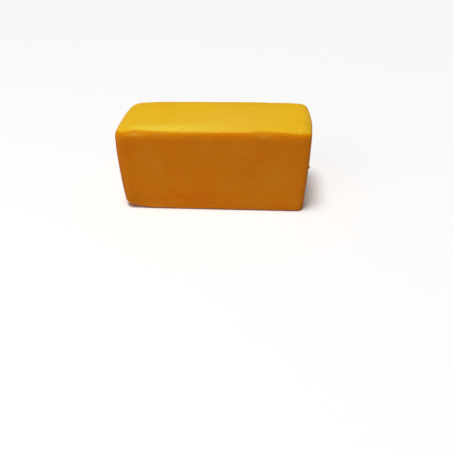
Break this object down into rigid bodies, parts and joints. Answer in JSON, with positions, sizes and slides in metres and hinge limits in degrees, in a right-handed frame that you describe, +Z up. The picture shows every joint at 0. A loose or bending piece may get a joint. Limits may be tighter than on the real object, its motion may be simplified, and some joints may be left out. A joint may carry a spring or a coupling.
{
  "type": "prato cheese block",
  "caption": "Uncut loaf of semi-hard yellow prato cheese: a long block with softly rounded edges and slightly swollen ends, flat underneath.",
  "frame": {"origin": "under the middle of the block, at the level of its flat underside", "axes": "+X along the loaf's length, -Y towards the front, +Z up"},
  "size_m": [0.2508, 0.1152, 0.1119],
  "materials": {
    "cheese": "waxy, satin, slightly uneven"
  },
  "bodies": {
    "root": {"cheese_block": "cheese"}
  },
  "joints": []
}
